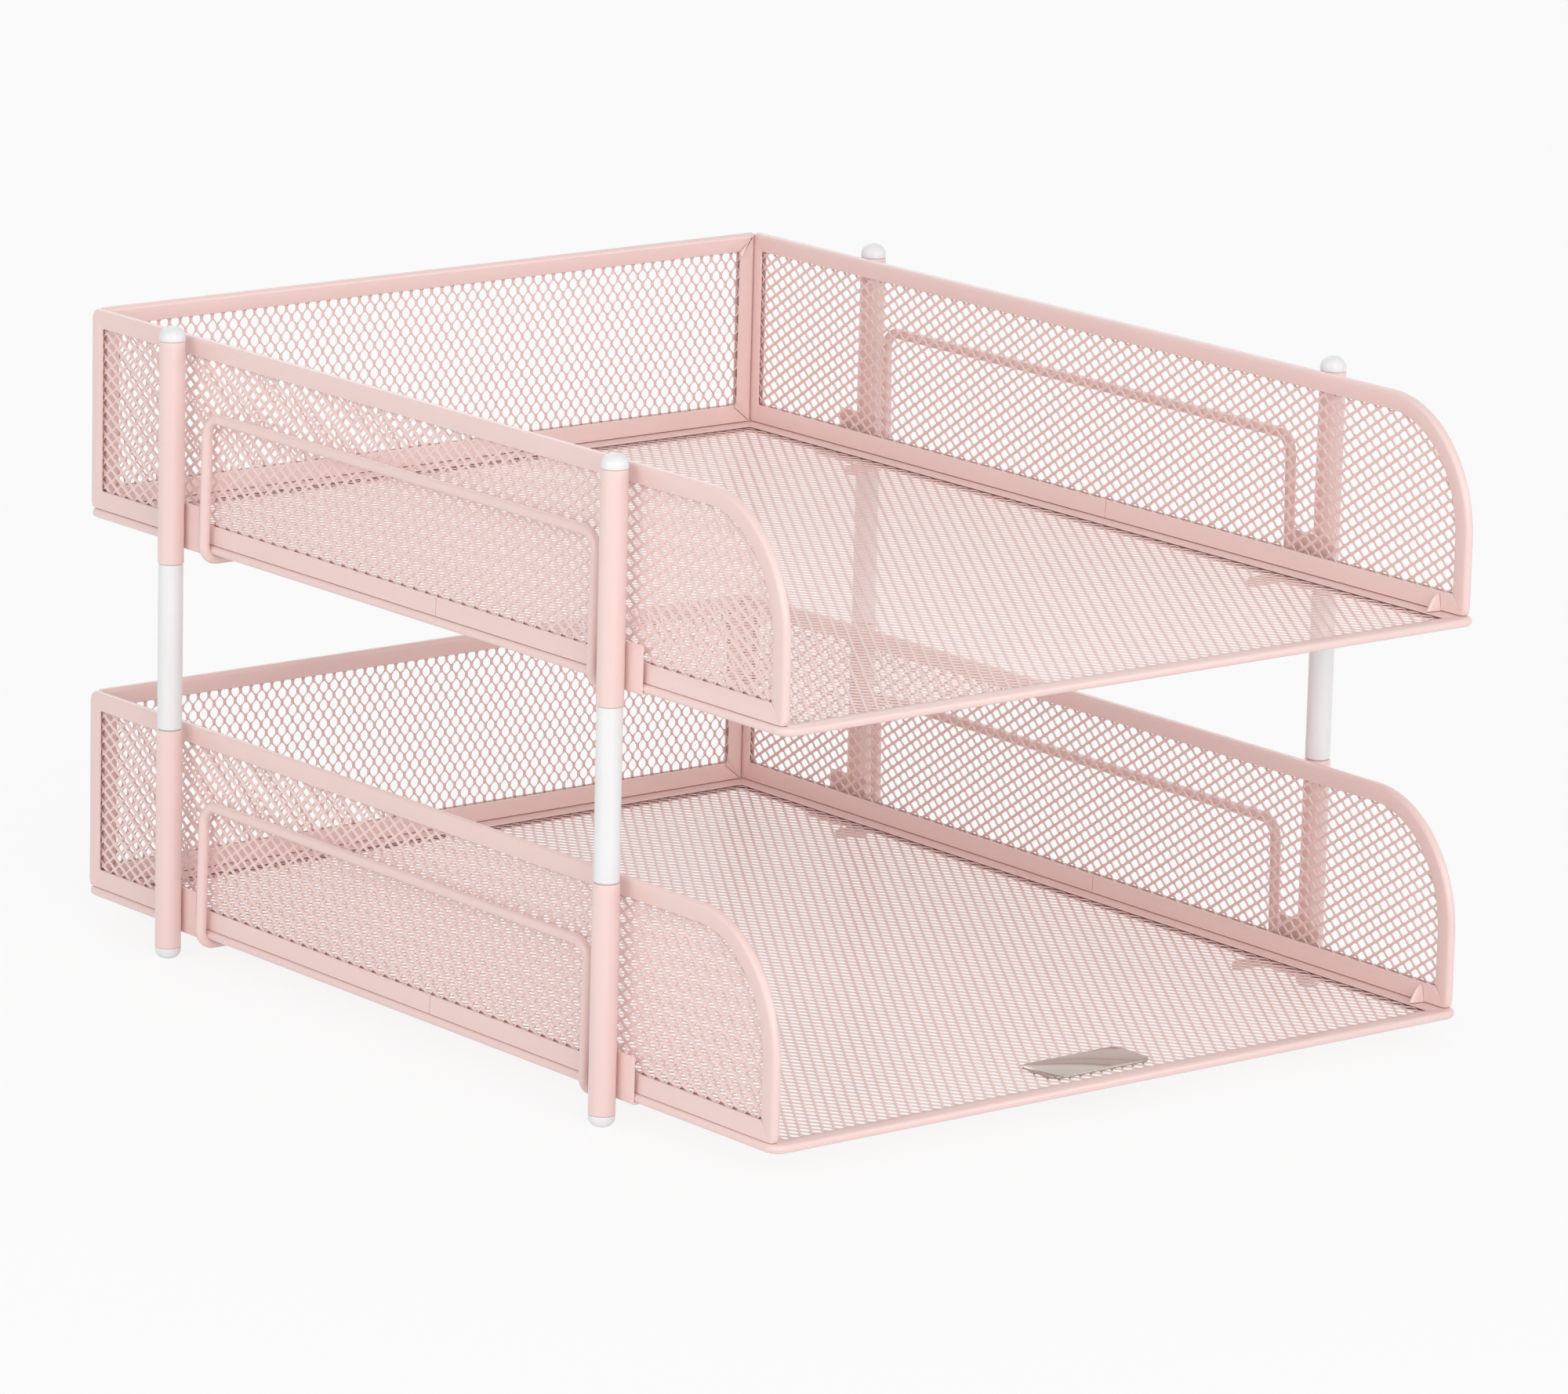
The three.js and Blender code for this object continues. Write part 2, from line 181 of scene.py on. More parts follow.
class TubeSizes(bpy.types.PropertyGroup):
    """Tube posts, and the plastic rods, caps and feet that plug into them."""

    bore: size("Bore", "Inner radius of a post", 0.0031)
    post_round: size("Post round", "Round of a post's ends", 0.00035)
    spigot: size("Spigot", "Radius of a plug's spigot", 0.003)
    spigot_round: size("Spigot round", "Round of a spigot's end", 0.0006)
    rod: size("Rod", "Radius of a connector rod", 0.0038)
    rod_spigot: size("Rod spigot", "Length of a connector rod's spigots", 0.012)
    rod_round: size("Rod round", "Round of a connector rod's shoulders", 0.0008)
    cap_height: size("Cap height", "Height of a top cap above its post", 0.0044)
    cap_collar: size("Cap collar", "Straight side of a top cap", 0.001)
    foot_height: size("Foot height", "Height of a foot below its post", 0.0034)
    foot_collar: size("Foot collar", "Straight side of a foot", 0.0006)
    cap_flat: size("Cap flat", "Radius of the flat on top of a cap", 0.0005)
    foot_flat: size("Foot flat", "Radius of the flat under a foot", 0.0016)
    sides: IntProperty(name="Sides", description="Steps round a turned piece", default=48, min=8)


class SmallSizes(bpy.types.PropertyGroup):
    """Brackets, bent wires, gussets and the plate."""

    bracket_sheet: size("Bracket sheet", "Thickness of a bracket", 0.0008)
    bracket_bend: size("Bracket bend", "Radius of a bracket's bend", 0.0009)
    bracket_corner: size("Bracket corner", "Radius of a bracket's upper corners", 0.0005)
    bracket_edge: size("Bracket edge", "Round of a bracket's edges", 0.0002)
    wire: size("Wire", "Radius of the bent wires", 0.00165)
    wire_gap: size("Wire gap", "Gap between a wire's rail and its wall", 0.00005)
    top_bend: size("Top bend", "Radius of a wire's upper bends", 0.006)
    foot_bend: size("Foot bend", "Radius of a wire's lower bends", 0.0045)
    gusset_top: FloatProperty(
        name="Gusset top", description="Width of a gusset's top over that of its foot", default=0.58
    )
    gusset_width: FloatProperty(
        name="Gusset width", description="Width of a gusset's foot over the solid's", default=0.38
    )
    gusset_round: FloatProperty(
        name="Gusset round", description="Round of a gusset's top over its radius", default=0.8
    )
    plate_corner: size("Plate corner", "Radius of the plate's corners", 0.004)
    plate_edge: size("Plate edge", "Round of the plate's edge", 0.00015)


class TrayColours(bpy.types.PropertyGroup):
    """Finishes of the tray and its stage."""

    coat: tint("Powder coat", "Colour of the powder coated steel", (0.885, 0.66, 0.625))
    plastic: tint("Plastic", "Colour of the rods, caps and feet", (0.86, 0.86, 0.87))
    plate: tint("Plate", "Colour of the bare metal plate", (0.50, 0.44, 0.39))
    floor: tint("Floor", "Colour of the floor", (0.94, 0.94, 0.94))


# Materials

class Field:
    """Output of a shader node; arithmetic on it adds Math nodes."""

    def __init__(self, finish, socket):
        self.finish = finish
        self.socket = socket

    def maths(self, operation, first, second):
        return self.finish.node("ShaderNodeMath", {"operation": operation}, {0: first, 1: second})

    def __add__(self, other):
        return self.maths("ADD", self, other)

    def __mul__(self, other):
        return self.maths("MULTIPLY", self, other)

    __radd__ = __add__
    __rmul__ = __mul__


class Finish:
    """Node tree of a material or of the world, emptied to be drawn afresh."""

    def __init__(self, owner):
        owner.use_nodes = True
        self.owner = owner
        self.tree = owner.node_tree
        self.tree.nodes.clear()

    def node(self, kind, settings=None, values=None, output=0):
        """Adds one node: its settings first, then its sockets' values and links."""
        made = self.tree.nodes.new(kind)
        for key, value in (settings or {}).items():
            setattr(made, key, value)
        for key, value in (values or {}).items():
            if isinstance(value, Field):
                self.tree.links.new(value.socket, made.inputs[key])
            else:
                made.inputs[key].default_value = value
        return Field(self, made.outputs[output]) if len(made.outputs) else None

    def spot(self):
        """Place on the piece, in metres."""
        return self.node("ShaderNodeTexCoord", output="Object")

    def noise(self, spot, scale, detail=2.0):
        """Cloudy pattern of that many features to the metre."""
        return self.node(
            "ShaderNodeTexNoise", None, {"Vector": spot, "Scale": scale, "Detail": detail}
        )

    def blend(self, share, first, second):
        """Colour between two colours."""
        values = {0: share, 6: first, 7: second}
        return self.node("ShaderNodeMix", {"data_type": "RGBA"}, values, output=2)

    def bump(self, height, depth, strength):
        """Surface relief of that depth in metres."""
        values = {"Height": height, "Distance": depth, "Strength": strength}
        return self.node("ShaderNodeBump", None, values)

    def skin(self, **values):
        """Principled surface; an underscore in a key stands for the space in a socket's name."""
        sockets = {key.replace("_", " "): value for key, value in values.items()}
        return self.node("ShaderNodeBsdfPrincipled", None, sockets)

    def show(self, shader, kind="ShaderNodeOutputMaterial"):
        """Ends the tree in its output."""
        self.node(kind, None, {"Surface": shader})
        return self.owner


def shade(colour, factor):
    """Opaque colour, a little darker or paler than the one given."""
    return (*(min(channel * factor, 1.0) for channel in colour), 1.0)


def powder_coat():
    """Satin powder coat: fine orange peel, hardly varied colour, under a thin gloss."""
    if "pink_powder_coat" in bpy.data.materials:
        return bpy.data.materials["pink_powder_coat"]
    coat = bpy.context.scene.tray_colours.coat
    finish = Finish(bpy.data.materials.new("pink_powder_coat"))
    spot = finish.spot()
    cloud = finish.noise(spot, 28.0, 3.0)
    peel = finish.noise(spot, 850.0, 1.5)
    grain = finish.noise(spot, 3200.0, 2.0)
    return finish.show(finish.skin(
        Base_Color=finish.blend(cloud, shade(coat, 0.975), shade(coat, 1.02)),
        Roughness=0.34 + cloud * 0.06 + grain * 0.06,
        IOR=1.5,
        Coat_Weight=0.6,
        Coat_Roughness=0.22,
        Normal=finish.bump(peel + grain * 0.25, 0.0001, 0.35),
    ))


def white_plastic():
    """Moulded glossy white plastic with faint flow clouding."""
    if "moulded_white_plastic" in bpy.data.materials:
        return bpy.data.materials["moulded_white_plastic"]
    plastic = bpy.context.scene.tray_colours.plastic
    finish = Finish(bpy.data.materials.new("moulded_white_plastic"))
    spot = finish.spot()
    cloud = finish.noise(spot, 60.0, 3.0)
    grain = finish.noise(spot, 1500.0, 2.0)
    return finish.show(finish.skin(
        Base_Color=finish.blend(cloud, shade(plastic, 0.97), shade(plastic, 1.02)),
        Roughness=0.24 + cloud * 0.08 + grain * 0.04,
        IOR=1.49,
        Normal=finish.bump(grain, 0.00004, 0.25),
    ))


def bare_plate_metal():
    """Polished plate with hairlines along its length and a faint haze."""
    if "polished_plate_metal" in bpy.data.materials:
        return bpy.data.materials["polished_plate_metal"]
    plate = bpy.context.scene.tray_colours.plate
    finish = Finish(bpy.data.materials.new("polished_plate_metal"))
    spot = finish.spot()
    stretched = finish.node("ShaderNodeMapping", None, {"Vector": spot, "Scale": (0.04, 1.0, 1.0)})
    hairline = finish.noise(stretched, 5000.0, 2.0)
    haze = finish.noise(spot, 180.0, 3.0)
    return finish.show(finish.skin(
        Base_Color=finish.blend(haze, shade(plate, 0.93), shade(plate, 1.04)),
        Metallic=1.0,
        Roughness=0.05 + hairline * 0.04 + haze * 0.04,
        Normal=finish.bump(hairline, 0.00001, 0.1),
    ))


def seen_rays(finish):
    """1 for rays from the camera, a gloss or through glass, and 0 for the rays that light."""
    paths = [finish.node("ShaderNodeLightPath", output=name)
             for name in ("Is Camera Ray", "Is Glossy Ray", "Is Transmission Ray")]
    return paths[0] + paths[1] + paths[2]


def pale_floor():
    """Plain pale floor that keeps the tray's shadow and shows white away from it."""
    colours = bpy.context.scene.tray_colours
    finish = Finish(bpy.data.materials.new("pale_floor"))
    cloud = finish.noise(finish.spot(), 3.0, 2.0)
    matt = finish.skin(
        Base_Color=finish.blend(cloud, shade(colours.floor, 0.99), shade(colours.floor, 1.0)),
        Roughness=0.9,
    )
    white = finish.node("ShaderNodeEmission", None, {"Color": WHITE, "Strength": 1.0})
    values = {0: seen_rays(finish) * FLOOR_WHITE, 1: matt, 2: white}
    return finish.show(finish.node("ShaderNodeMixShader", None, values))


# Mesh work shared by the pieces

def place(node):
    """Lowest and highest corner of a node's solid."""
    low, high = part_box(node)
    return Vector(low), Vector(high)


def settle(bm, nodes, old, new, material, sharp=SHARP_ANGLE):
    """Makes a piece for each node, copied from the first node's place to the others'."""
    bmesh.ops.recalc_face_normals(bm, faces=bm.faces)
    home = place(nodes[0])[0]
    for node in nodes:
        low, high = place(node)
        copy = bm.copy()
        bmesh.ops.translate(copy, verts=copy.verts, vec=low - home)
        mesh = bpy.data.meshes.new(node.replace(old, new))
        copy.to_mesh(mesh)
        copy.free()
        mesh.materials.append(material)
        mesh.shade_smooth()
        mesh.set_sharp_from_angle(angle=math.radians(sharp))
        piece = bpy.data.objects.new(mesh.name, mesh)
        bpy.context.scene.collection.objects.link(piece)
        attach(piece, BODY_OF[node])
        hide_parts(node)
        for corner in (Vector(piece.bound_box[0]) - low, high - Vector(piece.bound_box[6])):
            if min(corner) < -SLACK:
                raise ValueError(f"{mesh.name} leaves its solid by {-min(corner) * 1000:.2f} mm")
    bm.free()


def settle_walls(bm, old, new, material):
    """Makes a left wall's piece for both trays, and its mirror image for the right walls."""
    twin = bm.copy()
    bmesh.ops.scale(twin, verts=twin.verts, vec=(-1.0, 1.0, 1.0))
    for side, drawn in zip(SIDES, (bm, twin)):
        settle(drawn, [f"{tier}_{side}_{old}" for tier in TIERS], old, new, material)


def round_edges(bm, edges, radius, steps):
    """Rolls edges over to a round."""
    bmesh.ops.bevel(
        bm, geom=edges, offset=radius, offset_type="OFFSET", segments=steps, profile=0.5,
        affect="EDGES", material=-1, clamp_overlap=True,
    )


def round_corner(bm, corner, across, up, steps):
    """Turns one corner of a flat outline into a quarter ellipse; up is along Y or Z."""
    stretch = Matrix.Diagonal((1.0, across / up, across / up, 1.0))
    bmesh.ops.transform(bm, matrix=stretch, verts=bm.verts)
    bmesh.ops.bevel(
        bm, geom=[corner], offset=across, offset_type="OFFSET", segments=steps, profile=0.5,
        affect="VERTICES", material=-1, clamp_overlap=False,
    )
    bmesh.ops.transform(bm, matrix=stretch.inverted(), verts=bm.verts)


def outline(bm, edges, rounds):
    """Flat face between four edges, its corners rounded from the lower left anticlockwise."""
    left, right, bottom, top = edges
    spots = ((left, bottom), (right, bottom), (right, top), (left, top))
    corners = [bm.verts.new((u, v, 0.0)) for u, v in spots]
    bm.faces.new(corners)
    for corner, (across, up, steps) in zip(corners, rounds):
        round_corner(bm, corner, across, up, steps)


def channel(outer, window, outer_rounds, window_rounds, thickness, fold, mitre=0.0):
    """Folded strip round a window, with a slot between its lips, drawn flat from level 0 up."""
    sizes = bpy.context.scene.tray_channels
    bm = bmesh.new()
    mark = bm.verts.layers.int.new("mark")
    for edges, rounds, spot in (
        (outer, outer_rounds, AT_FOLD), (window, window_rounds, AT_WINDOW)
    ):
        outline(bm, edges, rounds)
        for vert in bm.verts:
            vert[mark] = vert[mark] or spot
    bmesh.ops.delete(bm, geom=bm.faces[:], context="FACES_ONLY")
    bmesh.ops.bridge_loops(bm, edges=bm.edges[:])
    corner = Vector((window[0], window[2]))
    if mitre:
        rim = [vert for vert in bm.verts if vert[mark] == AT_WINDOW]
        tip = min(rim, key=lambda vert: (vert.co.xy - corner).length)
        bmesh.ops.translate(bm, verts=[tip], vec=Vector((-1.0, -1.0, 0.0)).normalized() * mitre)
        tip[mark] = AT_SLIT
    made = bmesh.ops.extrude_face_region(bm, geom=bm.faces[:])
    top = [part for part in made["geom"] if isinstance(part, bmesh.types.BMVert)]
    bmesh.ops.translate(bm, verts=top, vec=(0.0, 0.0, thickness))
    lips = [vert for vert in bm.verts if vert[mark] != AT_FOLD]
    middle = Matrix.Translation((0.0, 0.0, -thickness / 2))
    bmesh.ops.scale(bm, verts=lips, vec=(1.0, 1.0, sizes.lip_taper), space=middle)
    bmesh.ops.recalc_face_normals(bm, faces=bm.faces)
    walls = [
        face for face in bm.faces
        if all(vert[mark] == AT_WINDOW for vert in face.verts)
        and (not mitre or (face.calc_center_median().xy - corner).length > mitre)
    ]
    lip = (thickness * sizes.lip_taper - sizes.slot) / 2
    for ledge, depth in ((lip, 0.0), (LEDGE, -sizes.slot_depth)):
        bmesh.ops.inset_region(
            bm, faces=walls, thickness=ledge, depth=depth, use_boundary=True, use_even_offset=True
        )
    level = [edge for edge in bm.edges if abs(edge.verts[0].co.z - edge.verts[1].co.z) < NEAR]
    folds = [edge for edge in level if all(vert[mark] == AT_FOLD for vert in edge.verts)]
    reach = thickness * sizes.lip_taper / 2 - NEAR
    ends = [
        edge for edge in level
        if all(vert[mark] != AT_FOLD and abs(vert.co.z - thickness / 2) > reach
               for vert in edge.verts)
    ]
    round_edges(bm, folds, fold, FOLD_STEPS)
    round_edges(bm, ends, sizes.lip_round, SMALL_STEPS)
    return bm


def seat_foot(bm, bottom, band, fold):
    """Flattens the round along a standing channel's foot, which sits on the floor channel."""
    seat = bpy.context.scene.tray_channels.seat
    parts = (
        ([v for v in bm.verts if v.co.y <= bottom + fold], bottom, seat),
        ([v for v in bm.verts if bottom + fold < v.co.y < bottom + band], bottom + band,
         (band - fold * seat) / (band - fold)),
    )
    for verts, level, factor in parts:
        space = Matrix.Translation((0.0, -level, 0.0))
        bmesh.ops.scale(bm, verts=verts, vec=(1.0, factor, 1.0), space=space)


def cut_seam(bm, along, top, thickness):
    """Presses a fine groove into both faces of a channel's lower band, where its ends meet."""
    sizes = bpy.context.scene.tray_channels
    cuts = []
    for shift in (-sizes.seam, 0.0, sizes.seam):
        faces = [face for face in bm.faces if all(vert.co.y < top for vert in face.verts)]
        rim = {part for face in faces for part in (*face.edges, *face.verts)}
        cut = bmesh.ops.bisect_plane(
            bm, geom=[*rim, *faces], plane_co=(along + shift, 0.0, 0.0), plane_no=(1.0, 0.0, 0.0),
            dist=NEAR,
        )["geom_cut"]
        cuts.append([part for part in cut if isinstance(part, bmesh.types.BMVert)])
    groove = [vert for vert in cuts[1] if abs(vert.co.z - thickness / 2) > thickness * 0.4]
    middle = Matrix.Translation((0.0, 0.0, -thickness / 2))
    bmesh.ops.scale(bm, verts=groove, vec=(1.0, 1.0, sizes.seam_depth), space=middle)


def turned(corners, sides):
    """Round piece about Z from half its section: each corner's radius, height and round."""
    bm = bmesh.new()
    verts = [bm.verts.new((radius, 0.0, height)) for radius, height, _, _ in corners]
    bm.faces.new(verts)
    for vert, (_, _, across, up) in zip(verts, corners):
        if across:
            round_corner(bm, vert, across, up, FOLD_STEPS)
    bmesh.ops.delete(bm, geom=bm.faces[:], context="FACES_ONLY")
    on_axis = [edge for edge in bm.edges if all(vert.co.x < NEAR for vert in edge.verts)]
    bmesh.ops.delete(bm, geom=on_axis, context="EDGES")
    bmesh.ops.spin(
        bm, geom=bm.verts[:] + bm.edges[:], cent=(0.0, 0.0, 0.0), axis=(0.0, 0.0, 1.0),
        dvec=(0.0, 0.0, 0.0), angle=math.tau, steps=sides, use_merge=True,
    )
    bmesh.ops.remove_doubles(bm, verts=bm.verts, dist=NEAR)
    return bm


def stand_on(bm, node):
    """Moves a turned piece so that its axis and its lower end meet the node's."""
    low, high = place(node)
    level = low.z - min(vert.co.z for vert in bm.verts)
    middle = (low + high) / 2
    bmesh.ops.translate(bm, verts=bm.verts, vec=(middle.x, middle.y, level))


class Opening(NamedTuple):
    """Shape of a net's openings, in halves, and of the sheet they are cut in."""

    width: float
    length: float
    side: float
    bulge: float
    tilt: float
    sheet: float


def opening(kind):
    """Openings of the floor's, the side walls' or the back wall's net."""
    s = bpy.context.scene.tray_nets
    return {
        "floor": Opening(s.half_width, s.half_length, s.half_side, 0.0, 0.0, s.floor_sheet),
        "side": Opening(
            s.side_half_width, s.side_half_length, s.side_half_side, 0.0, s.tilt, s.sheet
        ),
        "back": Opening(s.half_width, s.half_length, s.half_side, s.bulge, s.tilt, s.sheet),
    }[kind]


def net_sheet(width, height, kind):
    """Expanded sheet about the origin, with its openings' short way along X, cut oversize."""
    sizes = bpy.context.scene.tray_nets
    short, along = sizes.short_pitch, sizes.long_pitch
    w, h, s, bulge, tilt, _ = opening(kind)
    knee_across, knee_up = w / 2 + bulge, (s + h) / 2 + bulge
    bm = bmesh.new()
    spots = {
        "near_up": (w, s, -tilt), "near_down": (w, -s, -tilt),
        "far_up": (short - w, s, tilt), "far_down": (short - w, -s, tilt),
        "top": (short / 2, along / 2 - h, 0.0), "bottom": (short / 2, h - along / 2, 0.0),
        "left_tip": (0.0, h, 0.0), "right_tip": (short, h, 0.0),
        "left_side": (short / 2 - w, along / 2 - s, tilt),
        "right_side": (short / 2 + w, along / 2 - s, -tilt),
    }
    rims = [
        ("near_down", "bottom", "far_down", "far_up", "top", "near_up"),
        ("near_up", "top", "left_side", "left_tip"),
        ("top", "far_up", "right_tip", "right_side"),
    ]
    if bulge:
        half = tilt / 2
        spots |= {
            "near_knee": (knee_across, knee_up, -half),
            "far_knee": (short - knee_across, knee_up, half),
            "left_knee": (short / 2 - knee_across, along / 2 - knee_up, half),
            "right_knee": (short / 2 + knee_across, along / 2 - knee_up, -half),
        }
        rims[1:] = [
            ("near_up", "top", "left_knee", "near_knee"),
            ("near_knee", "left_knee", "left_side", "left_tip"),
            ("top", "far_up", "far_knee", "right_knee"),
            ("right_knee", "far_knee", "right_tip", "right_side"),
        ]
    at = {name: bm.verts.new(spot) for name, spot in spots.items()}
    for rim in rims:
        bm.faces.new([at[name] for name in rim])
    columns = math.ceil(width / short) + 2
    rows = math.ceil(height / along) + 2
    twin = bmesh.ops.duplicate(bm, geom=bm.verts[:] + bm.edges[:] + bm.faces[:])["geom"]
    moved = [part for part in twin if isinstance(part, bmesh.types.BMVert)]
    bmesh.ops.translate(bm, verts=moved, vec=(short / 2, along / 2, 0.0))
    for step, count in (((short, 0.0, 0.0), columns), ((0.0, along, 0.0), rows)):
        bmesh.ops.spin(
            bm, geom=bm.verts[:] + bm.edges[:] + bm.faces[:], cent=(0.0, 0.0, 0.0),
            axis=(0.0, 0.0, 1.0), dvec=step, angle=0.0, steps=count, use_duplicate=True,
        )
    bmesh.ops.remove_doubles(bm, verts=bm.verts, dist=JOIN)
    centre = (-short * math.floor((columns + 1) / 2), -along * math.floor((rows + 1) / 2), 0.0)
    bmesh.ops.translate(bm, verts=bm.verts, vec=centre)
    return bm


def trim(bm, point, outward):
    """Cuts away what lies beyond a plane."""
    bmesh.ops.bisect_plane(
        bm, geom=bm.verts[:] + bm.edges[:] + bm.faces[:], plane_co=(*point, 0.0),
        plane_no=(*outward, 0.0), clear_outer=True, dist=NEAR,
    )


def net(window, level, kind, curve=None):
    """Net that fills a window and tucks into its channel, drawn flat at that level."""
    sizes = bpy.context.scene.tray_nets
    left, right, bottom, top = window
    width, height = right - left + 2 * sizes.tuck, top - bottom + 2 * sizes.tuck
    if kind == "side":
        bm = net_sheet(height, width, kind)
        quarter = Matrix.Rotation(math.pi / 2, 3, "Z")
        bmesh.ops.rotate(bm, verts=bm.verts, cent=(0.0, 0.0, 0.0), matrix=quarter)
    else:
        bm = net_sheet(width, height, kind)
    bmesh.ops.translate(bm, verts=bm.verts, vec=((left + right) / 2, (bottom + top) / 2, 0.0))
    trim(bm, (left - sizes.tuck, 0.0), (-1.0, 0.0))
    trim(bm, (right + sizes.tuck, 0.0), (1.0, 0.0))
    trim(bm, (0.0, bottom - sizes.tuck), (0.0, -1.0))
    trim(bm, (0.0, top + sizes.tuck), (0.0, 1.0))
    if curve:
        depth, rise = curve[0] + sizes.tuck, curve[1] + sizes.tuck
        for step in range(1, NET_CURVE_STEPS):
            angle = math.pi / 2 * (1.0 + step / NET_CURVE_STEPS)
            reach = Vector((depth * math.cos(angle), rise * math.sin(angle)))
            outward = Vector((math.cos(angle) / depth, math.sin(angle) / rise)).normalized()
            trim(bm, Vector((left + curve[0], top - curve[1])) + reach, outward)
    bmesh.ops.solidify(bm, geom=bm.faces[:], thickness=opening(kind).sheet)
    levels = [vert.co.z for vert in bm.verts]
    middle = (min(levels) + max(levels)) / 2
    bmesh.ops.translate(bm, verts=bm.verts, vec=(0.0, 0.0, level - middle))
    return bm


def stood(bm, matrix):
    """Stands a flat drawing up."""
    bmesh.ops.transform(bm, matrix=matrix, verts=bm.verts)
    return bm


def flat_edges(node, u, v):
    """Edges of a node's box on two of its axes."""
    low, high = place(node)
    return low[u], high[u], low[v], high[v]


def inset(edges, left, right, bottom, top):
    """Edges moved inwards."""
    return edges[0] + left, edges[1] - right, edges[2] + bottom, edges[3] - top


def side_window():
    """Outer edges and window edges of a side wall, drawn along the side."""
    band = bpy.context.scene.tray_channels.wall_band
    outer = flat_edges("lower_left_wall_frame", 1, 2)
    return outer, inset(outer, band, band, band, band)


def inner_curve():
    """Depth and height of the front curve of a side wall's window."""
    sizes = bpy.context.scene.tray_channels
    return sizes.curve_depth - sizes.wall_band, sizes.curve_height - sizes.wall_band


def back_window():
    """Outer edges and window edges of the back wall, drawn across the back."""
    band = bpy.context.scene.tray_channels.wall_band
    outer = flat_edges("lower_back_wall_frame", 0, 2)
    return outer, inset(outer, band, band, band, band)


def floor_window():
    """Outer edges and window edges of the floor."""
    sizes = bpy.context.scene.tray_channels
    outer = flat_edges("lower_floor_rim", 0, 1)
    return outer, inset(outer, sizes.side_band, sizes.side_band, sizes.front_band, sizes.side_band)


def bent_wire(radius, corners, bends, sides=16, steps=10):
    """Round wire along straight runs, with a round bend at each inner corner."""
    bm = bmesh.new()
    into = (corners[1] - corners[0]).normalized()
    turn = into.to_track_quat("Z", "Y").to_matrix().to_4x4()
    stand = Matrix.Translation(corners[0]) @ turn
    bmesh.ops.create_circle(bm, cap_ends=False, segments=sides, radius=radius, matrix=stand)
    ring = bm.edges[:]
    here = corners[0]
    for i in range(1, len(corners)):
        into = (corners[i] - corners[i - 1]).normalized()
        stop = corners[i]
        if i < len(corners) - 1:
            out = (corners[i + 1] - corners[i]).normalized()
            half = into.angle(out) / 2
            stop = corners[i] - into * bends[i] * math.tan(half)
        made = bmesh.ops.extrude_edge_only(bm, edges=ring)["geom"]
        ring = [part for part in made if isinstance(part, bmesh.types.BMEdge)
                and not part.is_wire and len(part.link_faces) == 1]
        verts = [part for part in made if isinstance(part, bmesh.types.BMVert)]
        bmesh.ops.translate(bm, verts=verts, vec=stop - here)
        here = stop
        if i < len(corners) - 1:
            centre = corners[i] + (out - into).normalized() * bends[i] / math.cos(half)
            axis = into.cross(out).normalized()
            made = bmesh.ops.spin(
                bm, geom=verts + ring, cent=centre, axis=axis, dvec=(0, 0, 0), angle=2 * half,
                steps=steps, use_duplicate=False,
            )["geom_last"]
            ring = [part for part in made if isinstance(part, bmesh.types.BMEdge)]
            here = centre + Matrix.Rotation(2 * half, 3, axis) @ (stop - centre)
    ends = [edge for edge in bm.edges if len(edge.link_faces) == 1]
    caps = bmesh.ops.holes_fill(bm, edges=ends, sides=0)["faces"]
    round_edges(bm, [edge for face in caps for edge in face.edges], radius / 4, SMALL_STEPS)
    return bm


# Operators, one for each kind of piece

class Step(bpy.types.Operator):
    """Base of the tray's operators."""

    bl_options = {"REGISTER", "UNDO"}


class TRAY_OT_floor_channels(Step):
    """Fold the channel round each tray's floor"""

    bl_idname = "tray.floor_channels"
    bl_label = "Floor channels"

    def execute(self, context):
        sizes = context.scene.tray_channels
        outer, window = floor_window()
        low, high = place("lower_floor_rim")
        rounds = [(sizes.floor_corner, sizes.floor_corner, CORNER_STEPS)] * 4
        insides = [(sizes.window_corner, sizes.window_corner, CORNER_STEPS)] * 4
        bm = channel(outer, window, rounds, insides, high.z - low.z, sizes.floor_fold)
        bmesh.ops.translate(bm, verts=bm.verts, vec=(0.0, 0.0, low.z))
        nodes = [f"{tier}_floor_rim" for tier in TIERS]
        settle(bm, nodes, "rim", "channel", powder_coat())
        return {"FINISHED"}


